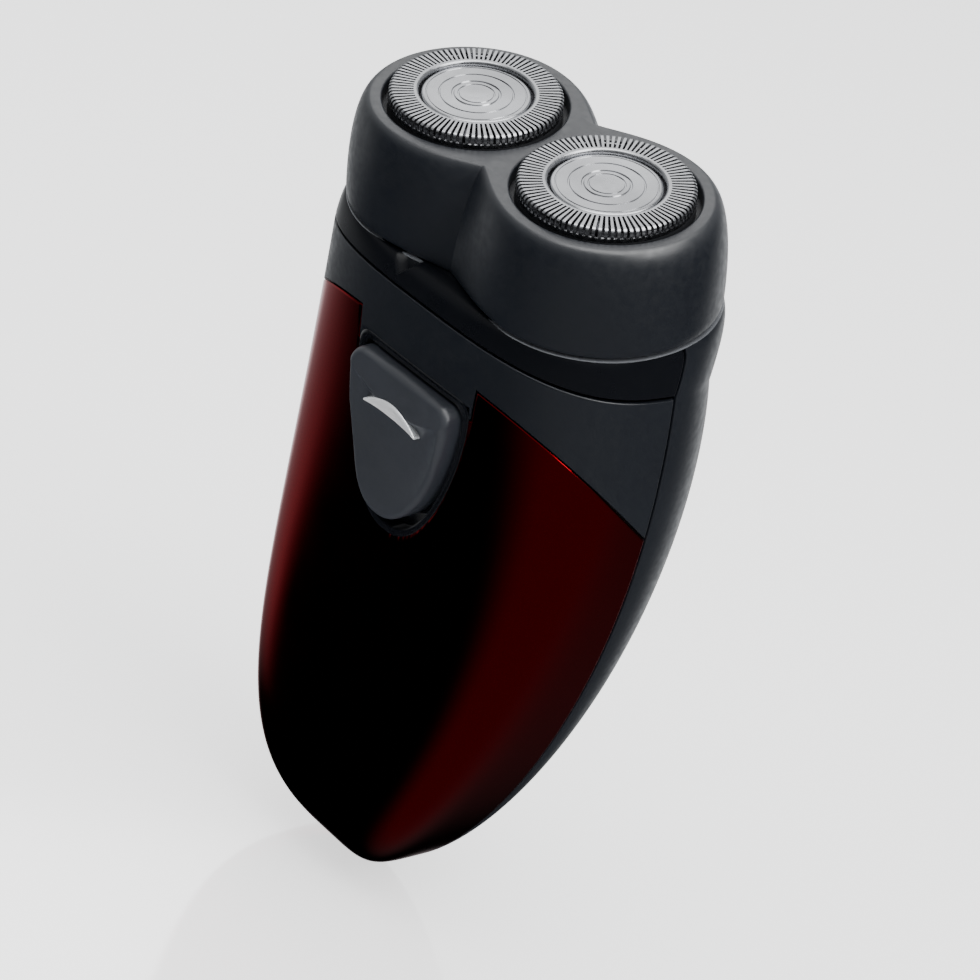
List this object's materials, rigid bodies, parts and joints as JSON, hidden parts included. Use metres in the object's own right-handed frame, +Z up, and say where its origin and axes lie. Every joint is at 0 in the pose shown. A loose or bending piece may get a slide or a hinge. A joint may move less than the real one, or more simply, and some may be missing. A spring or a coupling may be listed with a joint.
{
  "type": "electric shaver",
  "caption": "Battery-powered rotary shaver: a bowed two-shell handle with a glossy front panel and slide switch, under a tilted two-lobed shaving unit with floating slotted guards.",
  "frame": {"origin": "under the rounded tip of the handle, at the middle of the bounding box in X and Y", "axes": "+Z up the handle towards the shaving heads, -Y towards the switch side, X across the two heads"},
  "size_m": [0.063, 0.0442, 0.1226],
  "materials": {
    "slate_plastic": "satin",
    "gloss_black": "gloss",
    "candy_red": "gloss",
    "steel": "fine brushed",
    "bright_metal": "bright satin",
    "natural_plastic": "satin",
    "chassis_black": "matte",
    "brass": "satin",
    "cell_wrap": "gloss film",
    "lead_red": "satin",
    "lead_black": "satin"
  },
  "bodies": {
    "handle": {"front_housing": "slate_plastic", "rear_housing": "slate_plastic", "front_panel": "candy_red", "collar_band": "gloss_black", "top_deck": "gloss_black", "switch_bezel": "gloss_black", "switch_leaf": "brass", "battery_tray": "chassis_black", "battery_left": "cell_wrap", "battery_right": "cell_wrap", "contact_spring_left": "brass", "contact_spring_right": "brass", "contact_bridge": "brass", "contact_plate_left": "brass", "contact_plate_right": "brass", "gear_base": "chassis_black", "motor_can": "steel", "motor_end_cap": "natural_plastic", "motor_screw_rear": "steel", "motor_screw_front": "steel", "motor_lead_red": "lead_red", "motor_lead_black": "lead_black"},
    "switch": {"switch_slider": "slate_plastic", "switch_inlay": "bright_metal"},
    "rotor": {"motor_shaft": "steel", "drive_pinion": "brass"},
    "shaving_unit": {"head_shell": "slate_plastic", "retaining_frame": "chassis_black"},
    "lock_wheel": {"lock_wheel": "chassis_black"},
    "battery_cover": {"battery_door": "slate_plastic", "door_latch": "chassis_black"},
    "gear_left": {"drive_gear_left": "natural_plastic"},
    "spindle_left": {"drive_spindle_left": "natural_plastic", "spindle_spring_left": "steel"},
    "head_left": {"guard_left": "steel", "guard_cap_left": "bright_metal"},
    "cutting_left": {"cutter_left": "steel", "cutter_hub_left": "natural_plastic"},
    "gear_right": {"drive_gear_right": "natural_plastic"},
    "spindle_right": {"drive_spindle_right": "natural_plastic", "spindle_spring_right": "steel"},
    "head_right": {"guard_right": "steel", "guard_cap_right": "bright_metal"},
    "cutting_right": {"cutter_right": "steel", "cutter_hub_right": "natural_plastic"}
  },
  "joints": [
    {"name": "switch_slide", "type": "slide", "parent": "handle", "child": "switch", "axis": [0, 0.1253, -0.9921], "range_m": [0, 0.0018]},
    {"name": "motor_spin", "type": "hinge", "parent": "handle", "child": "rotor", "pos_m": [0, -0.00736, 0.1195], "axis": [0, -0.2588, 0.9659], "continuous": true},
    {"name": "shaving_unit_lift", "type": "slide", "parent": "handle", "child": "shaving_unit", "axis": [0, -0.2588, 0.9659], "range_m": [0, 0.02]},
    {"name": "lock_wheel_turn", "type": "hinge", "parent": "shaving_unit", "child": "lock_wheel", "pos_m": [0, -0.00736, 0.1195], "axis": [0, -0.2588, 0.9659], "range_deg": [0, 90]},
    {"name": "battery_cover_lift", "type": "slide", "parent": "handle", "child": "battery_cover", "axis": [0, 1, 0], "range_m": [0, 0.012]},
    {"name": "gear_left_spin", "type": "hinge", "parent": "handle", "child": "gear_left", "pos_m": [-0.014, -0.00736, 0.1195], "axis": [0, -0.2588, 0.9659], "continuous": true},
    {"name": "head_left_float", "type": "slide", "parent": "shaving_unit", "child": "head_left", "axis": [0, 0.2588, -0.9659], "range_m": [0, 0.0012], "stiffness_N_per_m": 250, "springref_m": -0.002},
    {"name": "spindle_left_slide", "type": "slide", "parent": "gear_left", "child": "spindle_left", "axis": [0, 0.2588, -0.9659], "range_m": [0, 0.0012], "deforming": ["spindle_spring_left"]},
    {"name": "cutter_left_spin", "type": "hinge", "parent": "head_left", "child": "cutting_left", "pos_m": [-0.014, -0.00736, 0.1195], "axis": [0, -0.2588, 0.9659], "continuous": true},
    {"name": "gear_right_spin", "type": "hinge", "parent": "handle", "child": "gear_right", "pos_m": [0.014, -0.00736, 0.1195], "axis": [0, -0.2588, 0.9659], "continuous": true},
    {"name": "head_right_float", "type": "slide", "parent": "shaving_unit", "child": "head_right", "axis": [0, 0.2588, -0.9659], "range_m": [0, 0.0012], "stiffness_N_per_m": 250, "springref_m": -0.002},
    {"name": "spindle_right_slide", "type": "slide", "parent": "gear_right", "child": "spindle_right", "axis": [0, 0.2588, -0.9659], "range_m": [0, 0.0012], "deforming": ["spindle_spring_right"]},
    {"name": "cutter_right_spin", "type": "hinge", "parent": "head_right", "child": "cutting_right", "pos_m": [0.014, -0.00736, 0.1195], "axis": [0, -0.2588, 0.9659], "continuous": true}
  ],
  "couplings": [
    {"joint": "gear_left_spin", "follows": "motor_spin", "ratio": -0.27273},
    {"joint": "cutter_left_spin", "follows": "motor_spin", "ratio": -0.27273},
    {"joint": "spindle_left_slide", "follows": "head_left_float", "ratio": 1},
    {"joint": "gear_right_spin", "follows": "motor_spin", "ratio": -0.27273},
    {"joint": "cutter_right_spin", "follows": "motor_spin", "ratio": -0.27273},
    {"joint": "spindle_right_slide", "follows": "head_right_float", "ratio": 1}
  ]
}
